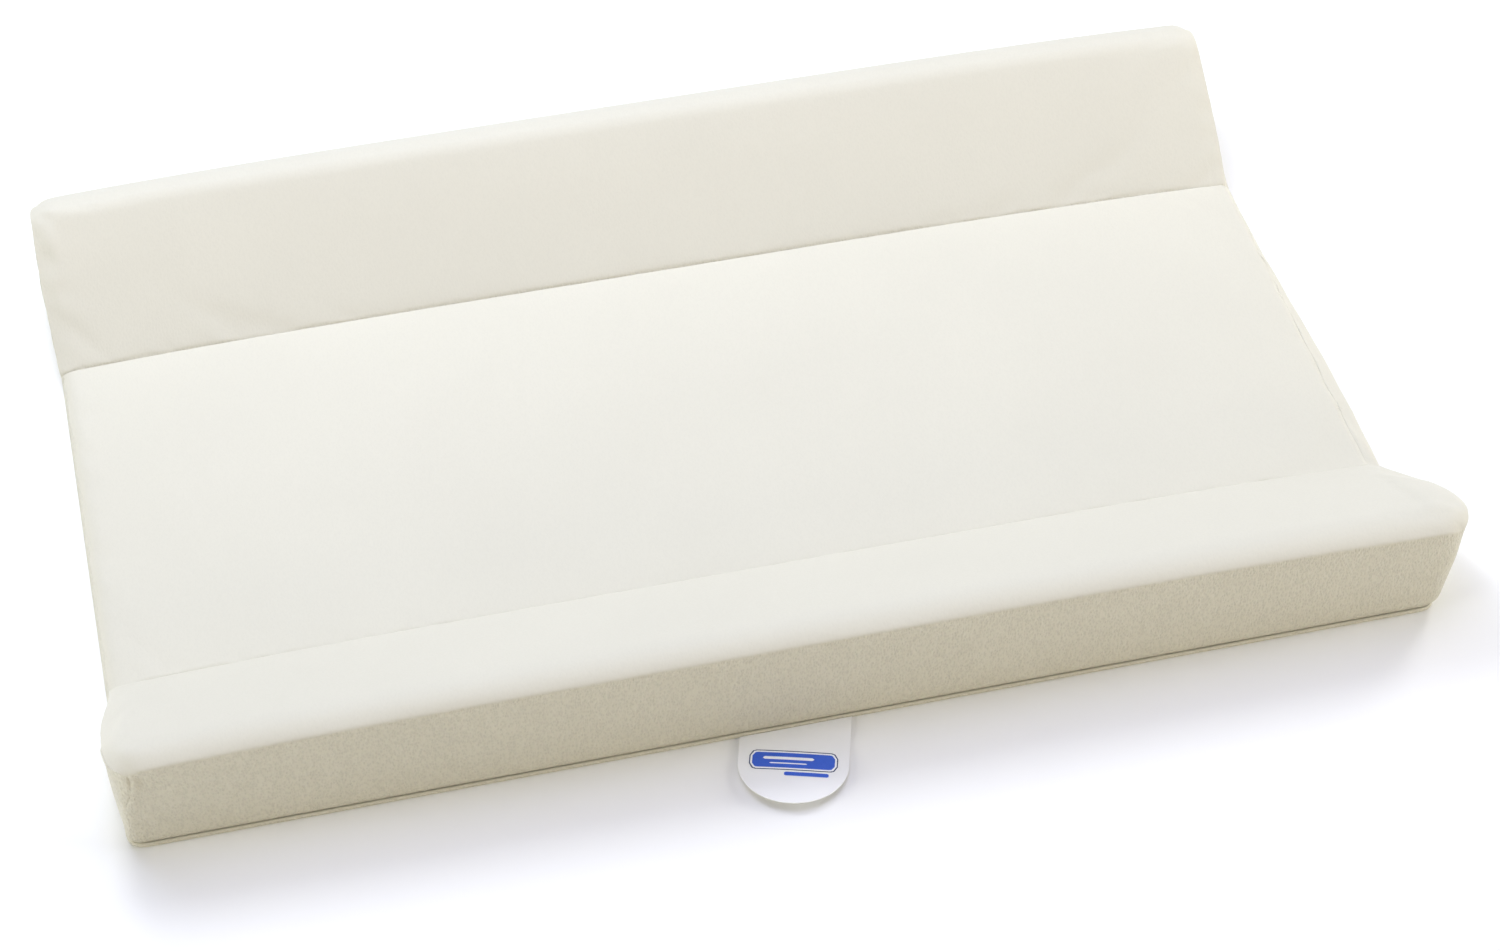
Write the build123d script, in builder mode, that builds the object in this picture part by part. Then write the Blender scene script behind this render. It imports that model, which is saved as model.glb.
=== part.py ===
"""Two-wedge changing pad: a flat mat between a front and a rear foam bolster, in a zipped cover.

The pad lies flat. X runs along its length, +Y to its rear and +Z up. The origin is the centre
of the base, on the surface that the pad lies on.
"""

from build123d import *
import os
from math import asin, atan2, cos, hypot, radians, sin, tan

os.makedirs("parts", exist_ok=True)

# Overall size
LENGTH = 800.0
WIDTH = 500.0
HEIGHT = 74.0
MAT_TOP = 19.0  # height of the mat at its two valley seams
VALLEY_Y = 137.0  # from the centre line to each valley seam
CREST_R = 12.0  # rounding of a bolster's crest

# Cover and base
SKIN = 1.0  # coated fabric
WELT_HEIGHT = 3.0
WELT_PROUD = 0.8  # how far the welt stands out past the faces above it
THREAD = 0.6

# Layers inside, from the base up
BOARD = 3.0
SLAB = 11.0
TOE = 1.0  # blunt edge of a bolster's foam where it meets the mat

# Zip, along the foot of the rear face
ZIP_LENGTH = 632.0
ZIP_Z = 24.0
ZIP_OPENING = 8.0  # width of the slot in the rear face
TAPE_WIDTH = 13.4
TAPE = 0.6
CHAIN_R = 0.9
CHAIN_OFFSET = 1.5  # from the zip's centre line to the middle of each half chain
ZIP_ROOM = 2.6  # depth of the space behind the rear face for the tapes and slider
STOP_LENGTH = 2.4

# Zip slider and its pull
SLIDER_X = 302.0  # middle of the slider with the zip closed
SLIDER_LENGTH = 11.0
SLIDER_WIDTH = 8.6
WING = 1.3  # thickness of the outer plate
BACK_WING = 1.1  # thickness of the plate behind the tapes
POST_LENGTH = 4.0
POST = 0.8
LIP = 0.8
BRIDGE_LENGTH = 10.0
BRIDGE_WIDTH = 1.8
BRIDGE_ROOM = 1.8  # height of the gap under the bridge
BRIDGE = 1.1
PULL_LENGTH = 27.0
PULL_WIDTH = 5.6
PULL = 1.2
PULL_WINDOW = 6.5

# Hang tag, sewn into the front seam at a slant
TAG_X = -6.5
TAG_WIDTH = 65.0
TAG_REACH = 61.0  # from the seam to its rounded tip
TAG = 0.5
TAG_SLANT = 17.0
TAG_LIFT = 3.5
TAG_Z = 1.3

# Worked out from the sizes above
FACE_X = LENGTH / 2 - WELT_PROUD
FACE_Y = WIDTH / 2 - WELT_PROUD
END_X = FACE_X - SKIN  # inner side of the end panels
BACK_Y = FACE_Y - SKIN  # inner side of the front and rear faces
BOARD_TOP = SKIN + BOARD
SLAB_TOP = BOARD_TOP + SLAB
CREST_RUN = FACE_Y - CREST_R - VALLEY_Y
CREST_RISE = HEIGHT - CREST_R - MAT_TOP
SLOPE = atan2(CREST_RISE, CREST_RUN) + asin(CREST_R / hypot(CREST_RUN, CREST_RISE))
CLEAR = 0.3  # gap between pieces that move past each other
CUT = 2.0  # how far a cut runs past the surface that it opens
PLATE_Y = FACE_Y + LIP + CLEAR  # underside of the slider's outer plate
PIVOT_Y = PLATE_Y + WING + BRIDGE_ROOM / 2
TAPE_Z = CHAIN_OFFSET - CHAIN_R + TAPE_WIDTH / 2  # from the zip's centre line
CHAIN_END = ZIP_LENGTH / 2 - ZIP_OPENING
TAG_R = TAG_WIDTH / 2
FRONT = -1
REAR = 1


def slope_height(y, inset):
    """Height of a bolster's inner slope, drawn in by inset, at y from the centre line."""
    return MAT_TOP + (y - VALLEY_Y) * tan(SLOPE) - inset / cos(SLOPE)


def slope_reach(z, inset):
    """Distance from the centre line at which that slope is at height z."""
    return VALLEY_Y + (z - MAT_TOP + inset / cos(SLOPE)) / tan(SLOPE)


def bolster_outline(side, inset, toe_y, foot_z):
    """Section of a bolster, drawn in by inset, from its toe to its upright outer face."""
    face_y = FACE_Y - inset
    with BuildSketch() as outline:
        with BuildLine():
            Polyline(
                (side * toe_y, foot_z),
                (side * toe_y, slope_height(toe_y, inset)),
                (side * face_y, slope_height(face_y, inset)),
                (side * face_y, foot_z),
                close=True,
            )
        make_face()
        crest = outline.vertices().sort_by(Axis.Y)[-1]
        fillet(crest, CREST_R - inset)
    return outline.sketch_local


def finish(piece, label):
    """Name a piece and write it to its own file."""
    piece.part.label = label
    export_step(piece.part, f"parts/{label}.step")


def base_box(piece_z, height, x, y):
    """A flat layer that fills the base out to x and y, between piece_z and piece_z + height."""
    with BuildPart() as layer:
        with BuildSketch(Plane.XY.offset(piece_z)):
            Rectangle(2 * x, 2 * y)
        extrude(amount=height)
    return layer


# Space behind the rear face that the zip's tapes and slider run in
with BuildPart() as zip_room:
    with BuildSketch(Plane.XZ.offset(-BACK_Y)):
        with Locations((0, ZIP_Z)):
            Rectangle(ZIP_LENGTH + 2 * TAPE_WIDTH, 2 * (TAPE_WIDTH + 2 * CLEAR + THREAD))
    extrude(amount=ZIP_ROOM)

# Stiff base board and the foam slab on it
base_board = base_box(SKIN, BOARD, END_X, BACK_Y)
finish(base_board, "base_board")

with BuildPart() as foam_slab:
    add(base_box(BOARD_TOP, SLAB, END_X, BACK_Y).part)
    add(zip_room.part, mode=Mode.SUBTRACT)
finish(foam_slab, "foam_slab")

# Wedge-shaped foam bolsters along the front and rear
for side, label in ((FRONT, "front_bolster_foam"), (REAR, "rear_bolster_foam")):
    with BuildPart() as bolster_foam:
        with BuildSketch(Plane.YZ):
            add(bolster_outline(side, SKIN, slope_reach(SLAB_TOP + TOE, SKIN), SLAB_TOP))
        extrude(amount=END_X, both=True)
        if side == REAR:
            add(zip_room.part, mode=Mode.SUBTRACT)
    finish(bolster_foam, label)

# Wadding over the slab between the bolsters
wadding = base_box(SLAB_TOP, MAT_TOP - SKIN - SLAB_TOP, END_X, slope_reach(SLAB_TOP, SKIN))
finish(wadding, "mat_wadding")

# Cover: mat panel, the two bolster panels and the two end panels
mat_panel = base_box(MAT_TOP - SKIN, SKIN, END_X, VALLEY_Y)
finish(mat_panel, "cover_mat_panel")

for side, label in ((FRONT, "cover_front_panel"), (REAR, "cover_rear_panel")):
    with BuildPart() as bolster_panel:
        with BuildSketch(Plane.YZ):
            add(bolster_outline(side, 0, VALLEY_Y, WELT_HEIGHT))
            inside = bolster_outline(side, SKIN, VALLEY_Y - CUT, WELT_HEIGHT - CUT)
            add(inside, mode=Mode.SUBTRACT)
        extrude(amount=END_X, both=True)
        if side == REAR:
            with BuildSketch(Plane.XZ.offset(-FACE_Y - CUT)):
                with Locations((0, ZIP_Z)):
                    SlotOverall(ZIP_LENGTH, ZIP_OPENING)
            extrude(amount=2 * CUT + SKIN, mode=Mode.SUBTRACT)
    finish(bolster_panel, label)

with BuildPart() as end_panel:
    with BuildSketch(Plane.YZ.offset(END_X)):
        add(bolster_outline(FRONT, 0, VALLEY_Y, WELT_HEIGHT))
        add(bolster_outline(REAR, 0, VALLEY_Y, WELT_HEIGHT))
        with Locations((0, (MAT_TOP + WELT_HEIGHT) / 2)):
            Rectangle(2 * VALLEY_Y, MAT_TOP - WELT_HEIGHT)
    extrude(amount=SKIN)
finish(end_panel, "cover_right_panel")

with BuildPart() as far_end_panel:
    add(mirror(end_panel.part, about=Plane.YZ))
finish(far_end_panel, "cover_left_panel")

# Base cloth, and the welt that binds it to the panels all round
base_cloth = base_box(0, SKIN, END_X, BACK_Y)
finish(base_cloth, "cover_base_panel")

with BuildPart() as welt:
    with BuildSketch():
        Rectangle(LENGTH, WIDTH)
        Rectangle(2 * END_X, 2 * BACK_Y, mode=Mode.SUBTRACT)
    extrude(amount=WELT_HEIGHT)
    fillet(welt.edges().filter_by(Axis.Z).group_by(SortBy.DISTANCE)[-1], WELT_PROUD)
finish(welt, "base_welt")

# Thread along each valley seam
for side, label in ((FRONT, "front_valley_thread"), (REAR, "rear_valley_thread")):
    with BuildPart() as valley_thread:
        with BuildSketch(Plane.XY.offset(MAT_TOP)):
            with Locations((0, side * (VALLEY_Y - THREAD / 2))):
                Rectangle(2 * END_X, THREAD)
        extrude(amount=THREAD)
    finish(valley_thread, label)

# Zip: two tapes, the two closed half chains and the stops at their ends
for up, name in ((1, "upper"), (-1, "lower")):
    with BuildPart() as tape:
        with BuildSketch(Plane.XZ.offset(-BACK_Y)):
            with Locations((0, ZIP_Z + up * TAPE_Z)):
                Rectangle(ZIP_LENGTH + TAPE_WIDTH, TAPE_WIDTH)
        extrude(amount=TAPE)
    finish(tape, f"zip_tape_{name}")

    with BuildPart() as chain:
        with BuildSketch(Plane.YZ):
            with Locations((BACK_Y + CHAIN_R, ZIP_Z + up * CHAIN_OFFSET)):
                Circle(CHAIN_R)
        extrude(amount=CHAIN_END, both=True)
    finish(chain, f"zip_chain_{name}")

with BuildPart() as zip_stops:
    with BuildSketch(Plane.XZ.offset(-BACK_Y)):
        with Locations((CHAIN_END + STOP_LENGTH / 2, ZIP_Z)):
            with GridLocations(0, 2 * CHAIN_OFFSET, 1, 2):
                Rectangle(STOP_LENGTH, 2 * CHAIN_R)
        with Locations((-CHAIN_END - STOP_LENGTH / 2, ZIP_Z)):
            Rectangle(STOP_LENGTH, 2 * (CHAIN_OFFSET + CHAIN_R))
    extrude(amount=-2 * CHAIN_R)
finish(zip_stops, "zip_stops")

# Slider: an outer plate with two lips, a bridge for the pull, and a plate behind the tapes
with BuildPart() as slider:
    with BuildSketch(Plane.XZ.offset(-PLATE_Y)):
        with Locations((SLIDER_X, ZIP_Z)):
            RectangleRounded(SLIDER_LENGTH, SLIDER_WIDTH, SLIDER_WIDTH / 3)
    extrude(amount=-WING)
    with BuildSketch(Plane.XZ.offset(-PLATE_Y)):
        with Locations((SLIDER_X, ZIP_Z)):
            with GridLocations(0, SLIDER_WIDTH - LIP, 1, 2):
                Rectangle(SLIDER_LENGTH / 2, LIP)
    extrude(amount=LIP)
    with BuildSketch(Plane.XZ.offset(-PLATE_Y)):
        with Locations((SLIDER_X, ZIP_Z)):
            Rectangle(POST_LENGTH, POST)
    extrude(amount=PLATE_Y - BACK_Y + TAPE + CLEAR)
    with BuildSketch(Plane.XZ.offset(-BACK_Y + TAPE + CLEAR)):
        with Locations((SLIDER_X, ZIP_Z)):
            RectangleRounded(SLIDER_LENGTH, SLIDER_WIDTH, SLIDER_WIDTH / 3)
    extrude(amount=BACK_WING)
    with BuildSketch(Plane.XY.offset(ZIP_Z)):
        with Locations((SLIDER_X, PLATE_Y + WING + (BRIDGE_ROOM + BRIDGE) / 2)):
            Rectangle(BRIDGE_LENGTH, BRIDGE_ROOM + BRIDGE)
        with Locations((SLIDER_X, PIVOT_Y)):
            Rectangle(BRIDGE_LENGTH - 2 * BRIDGE_WIDTH, BRIDGE_ROOM, mode=Mode.SUBTRACT)
    extrude(amount=BRIDGE_WIDTH / 2, both=True)
    top = slider.edges().filter_by(Axis.Z).group_by(Axis.Y)[-1]
    fillet(top, BRIDGE)
finish(slider, "zip_slider")

# Pull: a tab with a forked end, and a round pin across the fork that turns under the slider's bridge
with BuildPart() as pull:
    with BuildSketch(Plane.XZ.offset(-PIVOT_Y + PULL / 2)):
        with Locations((SLIDER_X + PULL / 2 - PULL_LENGTH / 2, ZIP_Z)):
            RectangleRounded(PULL_LENGTH, PULL_WIDTH, PULL)
        with Locations((SLIDER_X - PULL_LENGTH + 2 * PULL_WIDTH / 3, ZIP_Z)):
            Circle(PULL, mode=Mode.SUBTRACT)
    extrude(amount=-PULL)
    chamfer(pull.faces().sort_by(Axis.Y)[-1].outer_wire().edges(), CLEAR)
    with Locations((SLIDER_X - PULL_WINDOW / 2, PIVOT_Y, ZIP_Z)):
        Box(PULL_WINDOW + PULL, PULL, BRIDGE_WIDTH + 3 * CLEAR, mode=Mode.SUBTRACT)
    with Locations((SLIDER_X, PIVOT_Y, ZIP_Z)):
        Cylinder(PULL / 2, PULL_WIDTH - 2 * CLEAR)
finish(pull, "zip_pull")

# Hang tag: a card with straight sides and a half-round end, cut off along the seam
tag_plane = Plane(
    origin=(TAG_X, -WIDTH / 2 - CLEAR, TAG_Z),
    x_dir=(1, 0, 0),
    z_dir=(0, sin(radians(TAG_LIFT)), cos(radians(TAG_LIFT))),
)
with BuildPart() as hang_tag:
    with BuildSketch(tag_plane):
        with Locations(Rotation(0, 0, -TAG_SLANT)):
            with Locations((0, TAG_R - TAG_REACH)):
                Circle(TAG_R)
            with Locations((0, TAG_R - TAG_REACH / 2)):
                Rectangle(TAG_WIDTH, TAG_REACH)
        with Locations((0, TAG_REACH / 2)):
            Rectangle(2 * TAG_WIDTH, TAG_REACH, mode=Mode.SUBTRACT)
    extrude(amount=TAG / 2, both=True)
finish(hang_tag, "hang_tag")
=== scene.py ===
"""Looks of a two-wedge changing pad: coated-fabric cover over foam, zip, base and hang tag.

Metres, in the CAD frame: X along the pad, +Y to the rear, +Z up, the base on z = 0.
"""

import math

import bmesh
import bpy
import numpy as np
from mathutils import Matrix, Vector


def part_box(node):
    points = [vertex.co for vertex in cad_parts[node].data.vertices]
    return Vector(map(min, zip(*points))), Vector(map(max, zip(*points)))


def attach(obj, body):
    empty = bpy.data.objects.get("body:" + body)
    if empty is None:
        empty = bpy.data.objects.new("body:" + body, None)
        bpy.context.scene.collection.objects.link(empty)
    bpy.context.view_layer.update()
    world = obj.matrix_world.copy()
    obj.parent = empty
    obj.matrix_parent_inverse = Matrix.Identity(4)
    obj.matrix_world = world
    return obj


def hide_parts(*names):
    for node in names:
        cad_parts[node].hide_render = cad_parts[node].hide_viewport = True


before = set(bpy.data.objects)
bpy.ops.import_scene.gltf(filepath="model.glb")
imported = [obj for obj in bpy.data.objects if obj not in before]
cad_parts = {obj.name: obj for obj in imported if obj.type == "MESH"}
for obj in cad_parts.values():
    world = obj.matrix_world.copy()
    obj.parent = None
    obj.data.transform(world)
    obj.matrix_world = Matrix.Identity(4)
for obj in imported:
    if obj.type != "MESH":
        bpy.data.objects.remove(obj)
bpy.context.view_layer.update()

MM = 0.001
PAD = "pad"

# Places read from the frame
front_low, front_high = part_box("cover_front_panel")
mat_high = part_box("cover_mat_panel")[1]
welt_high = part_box("base_welt")[1]
cloth_low, cloth_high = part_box("cover_base_panel")
upper_low, upper_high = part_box("zip_chain_upper")
lower_low, lower_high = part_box("zip_chain_lower")
tag_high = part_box("hang_tag")[1]

FACE_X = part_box("cover_right_panel")[1].x
FACE_Y = -front_low.y
VALLEY_Y = mat_high.y
MAT_TOP = mat_high.z
CREST_TOP = front_high.z
WELT_TOP = welt_high.z
CREST_R = 25 * MM
CREST_EDGE = 1.05  # angle of the crest's arc where it meets the face, in a soft edge
CREST_LINE = 11 * MM  # from the face in to where the crest is fully up
CORNER_R = 9 * MM
FOOT = WELT_TOP + 0.3 * MM  # lower edge of the cover's upright faces
SKIN = 0.9 * MM

ZIP_Z = (upper_low.z + lower_high.z) / 2
ZIP_END = upper_high.x + 4 * MM
ZIP_HALF_OPENING = 4 * MM


# ---------------------------------------------------------------- materials


class Nodes:
    """A material's node tree, with short calls for the nodes used here."""

    def __init__(self, name, roughness, **sockets):
        self.material = bpy.data.materials.new(name)
        self.material.use_nodes = True
        self.tree = self.material.node_tree
        self.shader = self.tree.nodes["Principled BSDF"]
        self.shader.inputs["Roughness"].default_value = roughness
        for socket, value in sockets.items():
            self.shader.inputs[socket.replace("_", " ")].default_value = value
        self.place = self.add("ShaderNodeTexCoord").outputs["Object"]

    def add(self, kind, **values):
        """Add a node; values whose names are sockets fill them, and the rest are its settings."""
        node = self.tree.nodes.new(kind)
        for name, value in values.items():
            socket = node.inputs.get(name.replace("_", " "))
            if socket is None:
                setattr(node, name, value)
            elif isinstance(value, bpy.types.NodeSocket):
                self.link(value, socket)
            else:
                socket.default_value = value
        return node

    def link(self, source, target):
        self.tree.links.new(source, target)

    def stretched(self, x, y, z):
        """The object's coordinates, scaled along each axis."""
        return self.add("ShaderNodeMapping", Vector=self.place, Scale=(x, y, z)).outputs[0]

    def noise(self, where, scale, detail=2.0, roughness=0.5):
        node = self.add("ShaderNodeTexNoise", Vector=where, Scale=scale, Detail=detail)
        node.inputs["Roughness"].default_value = roughness
        return node.outputs[0]

    def cells(self, where, scale):
        return self.add("ShaderNodeTexVoronoi", Vector=where, Scale=scale).outputs["Distance"]

    def mapped(self, value, low, high, to_low, to_high):
        """Rescale a value from low..high to to_low..to_high."""
        node = self.add("ShaderNodeMapRange", Value=value)
        for socket, number in zip(node.inputs[1:5], (low, high, to_low, to_high)):
            socket.default_value = number
        return node.outputs[0]

    def mixed(self, share, a, b):
        """Blend of two colours."""
        node = self.add("ShaderNodeMix", data_type="RGBA")
        for socket, value in zip((node.inputs[0], node.inputs[6], node.inputs[7]), (share, a, b)):
            if isinstance(value, bpy.types.NodeSocket):
                self.link(value, socket)
            else:
                socket.default_value = value
        return node.outputs[2]

    def sum(self, a, b, operation="ADD"):
        node = self.add("ShaderNodeMath", operation=operation)
        for socket, value in zip(node.inputs, (a, b)):
            if isinstance(value, bpy.types.NodeSocket):
                self.link(value, socket)
            else:
                socket.default_value = value
        return node.outputs[0]

    def bump(self, height, depth):
        """Raise the surface by height times depth metres."""
        node = self.add("ShaderNodeBump", Height=height, Distance=depth, Strength=1.0)
        self.link(node.outputs[0], self.shader.inputs["Normal"])

    def colour(self, value):
        self.link(value, self.shader.inputs["Base Color"])

    def rough(self, value):
        self.link(value, self.shader.inputs["Roughness"])


def rgb(red, green, blue, gain=1.0):
    return (red * gain, green * gain, blue * gain, 1.0)


COVER_COLOUR = (0.67, 0.642, 0.53)


def coated_fabric(name, colour=COVER_COLOUR, grain=1.0):
    """Soft matt coated fabric: fine grain, its bump deeper on the upright faces, with painted shade
    in the grain's pits, faint on top and strong on the upright faces, where grazing light would
    shade them.
    """
    m = Nodes(name, 0.7, Sheen_Weight=0.06, Sheen_Roughness=0.45)
    facing = m.add("ShaderNodeSeparateXYZ", Vector=m.add("ShaderNodeNewGeometry").outputs["Normal"])
    upright = m.mapped(facing.outputs["Z"], 0.2, 0.8, 1.0, 0.0)
    along = m.stretched(1.0, 0.5, 0.5)
    streaks = m.noise(along, 620, 2.0, 0.55)
    pores = m.cells(along, 800)
    weave = m.noise(m.place, 2600, 1.0)
    mottle = m.noise(m.place, 9, 3.0)
    height = m.sum(m.sum(streaks, pores), m.sum(weave, 0.35, "MULTIPLY"))
    m.bump(height, m.mapped(upright, 0, 1, 0.06 * MM * grain, 0.65 * MM * grain))
    base = m.mixed(m.mapped(mottle, 0.3, 0.7, 0, 1), rgb(*colour, 0.985), rgb(*colour, 1.01))
    # Painted shade: the grain's pits are darkened in colour, faintly on top and strongly on the
    # upright faces, standing in for the shade that grazing light casts in the grain
    painted_pit_shade = m.mapped(m.sum(streaks, pores, "MULTIPLY"), 0.08, 0.3, 1.0, 0.0)
    depth = m.mapped(upright, 0, 1, 0.15, 0.8)
    m.colour(m.mixed(m.sum(painted_pit_shade, depth, "MULTIPLY"), base, rgb(*colour, 0.87)))
    m.rough(m.mapped(streaks, 0.3, 0.7, 0.62, 0.78))
    return m.material


def woven(name, colour, pitch, depth=0.12 * MM, roughness=0.85):
    """Plain woven cloth, its threads pitch metres apart."""
    m = Nodes(name, roughness, Sheen_Weight=0.1)
    per_metre = 1 / pitch
    warp = m.add("ShaderNodeTexWave", Vector=m.place, Scale=per_metre / 2, bands_direction="X")
    weft = m.add("ShaderNodeTexWave", Vector=m.place, Scale=per_metre / 2, bands_direction="Y")
    rise = m.add("ShaderNodeTexWave", Vector=m.place, Scale=per_metre / 2, bands_direction="Z")
    threads = m.sum(m.sum(warp.outputs[1], weft.outputs[1], "MAXIMUM"), rise.outputs[1], "MAXIMUM")
    fuzz = m.noise(m.place, 3000, 2.0)
    m.bump(m.sum(threads, m.sum(fuzz, 0.4, "MULTIPLY")), depth)
    m.colour(m.mixed(m.mapped(threads, 0.2, 1.0, 0.35, 0), rgb(*colour), rgb(*colour, 0.78)))
    return m.material


def twisted_thread(name, colour):
    """Sewing thread, its twist showing as fine slanting ridges."""
    m = Nodes(name, 0.6, Sheen_Weight=0.15)
    twist = m.add("ShaderNodeTexWave", Vector=m.place, Scale=900, bands_direction="DIAGONAL")
    m.bump(twist.outputs[1], 0.08 * MM)
    m.colour(m.mixed(m.mapped(twist.outputs[1], 0, 1, 0.3, 0), rgb(*colour), rgb(*colour, 0.8)))
    return m.material


def open_foam(name, colour, cell):
    """Open-cell foam with cells about cell metres across."""
    m = Nodes(name, 0.95)
    pores = m.cells(m.place, 1 / cell)
    lumps = m.noise(m.place, 40, 3.0)
    m.bump(m.sum(pores, m.sum(lumps, 0.5, "MULTIPLY")), 0.5 * cell)
    m.colour(m.mixed(m.mapped(pores, 0.0, 0.6, 0.5, 0), rgb(*colour), rgb(*colour, 0.7)))
    return m.material


def hardboard(name):
    """Pressed brown fibreboard, smooth and slightly mottled, with fine fibres."""
    m = Nodes(name, 0.55)
    fibres = m.noise(m.stretched(1.0, 3.0, 1.0), 420, 4.0, 0.65)
    clouds = m.noise(m.place, 14, 3.0)
    m.bump(fibres, 0.06 * MM)
    mottle = m.sum(fibres, clouds, "MULTIPLY")
    m.colour(m.mixed(mottle, rgb(0.30, 0.18, 0.10), rgb(0.50, 0.33, 0.19)))
    m.rough(m.mapped(fibres, 0.3, 0.7, 0.45, 0.65))
    return m.material


def enamelled(name, colour):
    """Die-cast metal under off-white enamel, dulled a little in random patches by handling."""
    m = Nodes(name, 0.3, Coat_Weight=0.4, Coat_Roughness=0.15, Specular_IOR_Level=0.6)
    orange_peel = m.noise(m.place, 1400, 2.0)
    handled = m.noise(m.place, 260, 4.0, 0.6)
    m.bump(orange_peel, 0.02 * MM)
    m.colour(m.mixed(m.mapped(handled, 0.55, 0.75, 0, 0.5), rgb(*colour), rgb(*colour, 0.72)))
    m.rough(m.mapped(handled, 0.35, 0.7, 0.24, 0.42))
    return m.material


def nylon(name, colour):
    """Slightly translucent nylon monofilament."""
    m = Nodes(name, 0.35, Subsurface_Weight=0.1, Subsurface_Scale=0.5 * MM)
    drawn = m.noise(m.stretched(1.0, 5.0, 5.0), 900, 2.0)
    m.bump(drawn, 0.02 * MM)
    m.colour(m.mixed(drawn, rgb(*colour, 0.92), rgb(*colour, 1.04)))
    return m.material


def card(name, colour):
    """Coated white card with a faint fibrous tooth."""
    m = Nodes(name, 0.42, Coat_Weight=0.15, Coat_Roughness=0.3)
    tooth = m.noise(m.place, 1800, 3.0)
    cloud = m.noise(m.place, 35, 2.0)
    m.bump(tooth, 0.02 * MM)
    m.colour(m.mixed(m.mapped(cloud, 0.3, 0.7, 0, 1), rgb(*colour, 0.985), rgb(*colour, 1.0)))
    m.rough(m.mapped(tooth, 0.3, 0.7, 0.38, 0.5))
    return m.material


def ink(name, colour):
    """Printed ink: fine halftone mottling over a flat colour."""
    m = Nodes(name, 0.38)
    dots = m.cells(m.place, 2200)
    patchy = m.noise(m.place, 300, 2.0)
    m.bump(dots, 0.01 * MM)
    mottle = m.sum(dots, patchy, "MULTIPLY")
    m.colour(m.mixed(m.mapped(mottle, 0.05, 0.4, 0.0, 0.35), rgb(*colour), rgb(*colour, 1.35)))
    return m.material


# ---------------------------------------------------------------- mesh tools


def piece(name, points, faces, material=None, body=PAD):
    """A mesh object from points and faces, which rides on a body."""
    mesh = bpy.data.meshes.new(name)
    corners = [tuple(map(float, p)) for p in points]
    mesh.from_pydata(corners, [], [tuple(map(int, f)) for f in faces])
    mesh.update()
    if material is not None:
        mesh.materials.append(material)
    mesh.polygons.foreach_set("use_smooth", np.ones(len(mesh.polygons), dtype=bool))
    obj = bpy.data.objects.new(name, mesh)
    bpy.context.scene.collection.objects.link(obj)
    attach(obj, body)
    return obj


def settle(obj, sharp_angle=None):
    """Put the object's modifiers into its mesh."""
    depsgraph = bpy.context.evaluated_depsgraph_get()
    done = bpy.data.meshes.new_from_object(obj.evaluated_get(depsgraph))
    obj.modifiers.clear()
    old, obj.data = obj.data, done
    bpy.data.meshes.remove(old)
    if sharp_angle is not None:
        done.set_sharp_from_angle(angle=math.radians(sharp_angle))
    return obj


def modifier(obj, kind, **values):
    made = obj.modifiers.new(kind.lower(), kind)
    for name, value in values.items():
        setattr(made, name, value)
    return made


def vertex_array(mesh):
    flat = np.empty(len(mesh.vertices) * 3)
    mesh.vertices.foreach_get("co", flat)
    return flat.reshape(-1, 3)


def grid_faces(rows, columns, closed_rows=False, closed_columns=False):
    """Quads of a grid of points stored row by row."""
    r = np.arange(rows if closed_rows else rows - 1)
    c = np.arange(columns if closed_columns else columns - 1)
    r, c = (a.ravel() for a in np.meshgrid(r, c, indexing="ij"))
    r2, c2 = (r + 1) % rows, (c + 1) % columns
    return np.stack([r * columns + c, r * columns + c2, r2 * columns + c2, r2 * columns + c], 1)


def smoothstep(value):
    value = np.clip(value, 0, 1)
    return value * value * (3 - 2 * value)


def waves(seed, count, longest, shortest):
    """A smooth random function of one place in metres, made of sines, within about -1 to 1."""
    random = np.random.default_rng(seed)
    lengths = np.exp(random.uniform(np.log(shortest), np.log(longest), count))
    phases = random.uniform(0, 2 * np.pi, count)

    def height(place):
        place = np.asarray(place)[..., None]
        return np.sin(2 * np.pi * place / lengths + phases).sum(-1) / math.sqrt(count)

    return height


# ---------------------------------------------------------------- the cover


def places_along(half, steps, crowding):
    """Places from -half to half, closer together towards both ends."""
    t = np.linspace(-1, 1, steps + 1)
    return half * np.sin(0.5 * np.pi * crowding * t) / math.sin(0.5 * np.pi * crowding)


def snap(values, *targets):
    """Move the nearest value to each target."""
    for target in targets:
        values[np.abs(values - target).argmin()] = target
    return values


FACE_ROWS = 18  # rows of the cover's grid up an upright face, round a crest and so on
ARC_ROWS = 10
SLOPE_ROWS = 18
MAT_ROWS = 38
COLUMNS = 116  # steps of the grid along the pad
SEAM_STEPS = (1.3 * MM, 3.2 * MM)  # rows beside a valley seam, where its groove lies
SIM_FRAMES = 20

# How far the pad gives
CROWN = 0.9 * MM  # rise of the mat between its two valley seams
END_DROP = 5.5 * MM  # drop of the whole top at the ends
END_SEAM_SINK = 0.9 * MM  # of the mat's end seams
REAR_SEAM_SINK = 0.3 * MM  # of the rear valley seam
REAR_CREST_SINK = 0.5 * MM
MAT_SWELL = 0.6 * MM  # most that the stuffing pushes each part out
SLOPE_SWELL = 0.9 * MM
FACE_SWELL = 0.4 * MM
END_SWELL = 2.2 * MM


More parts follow.
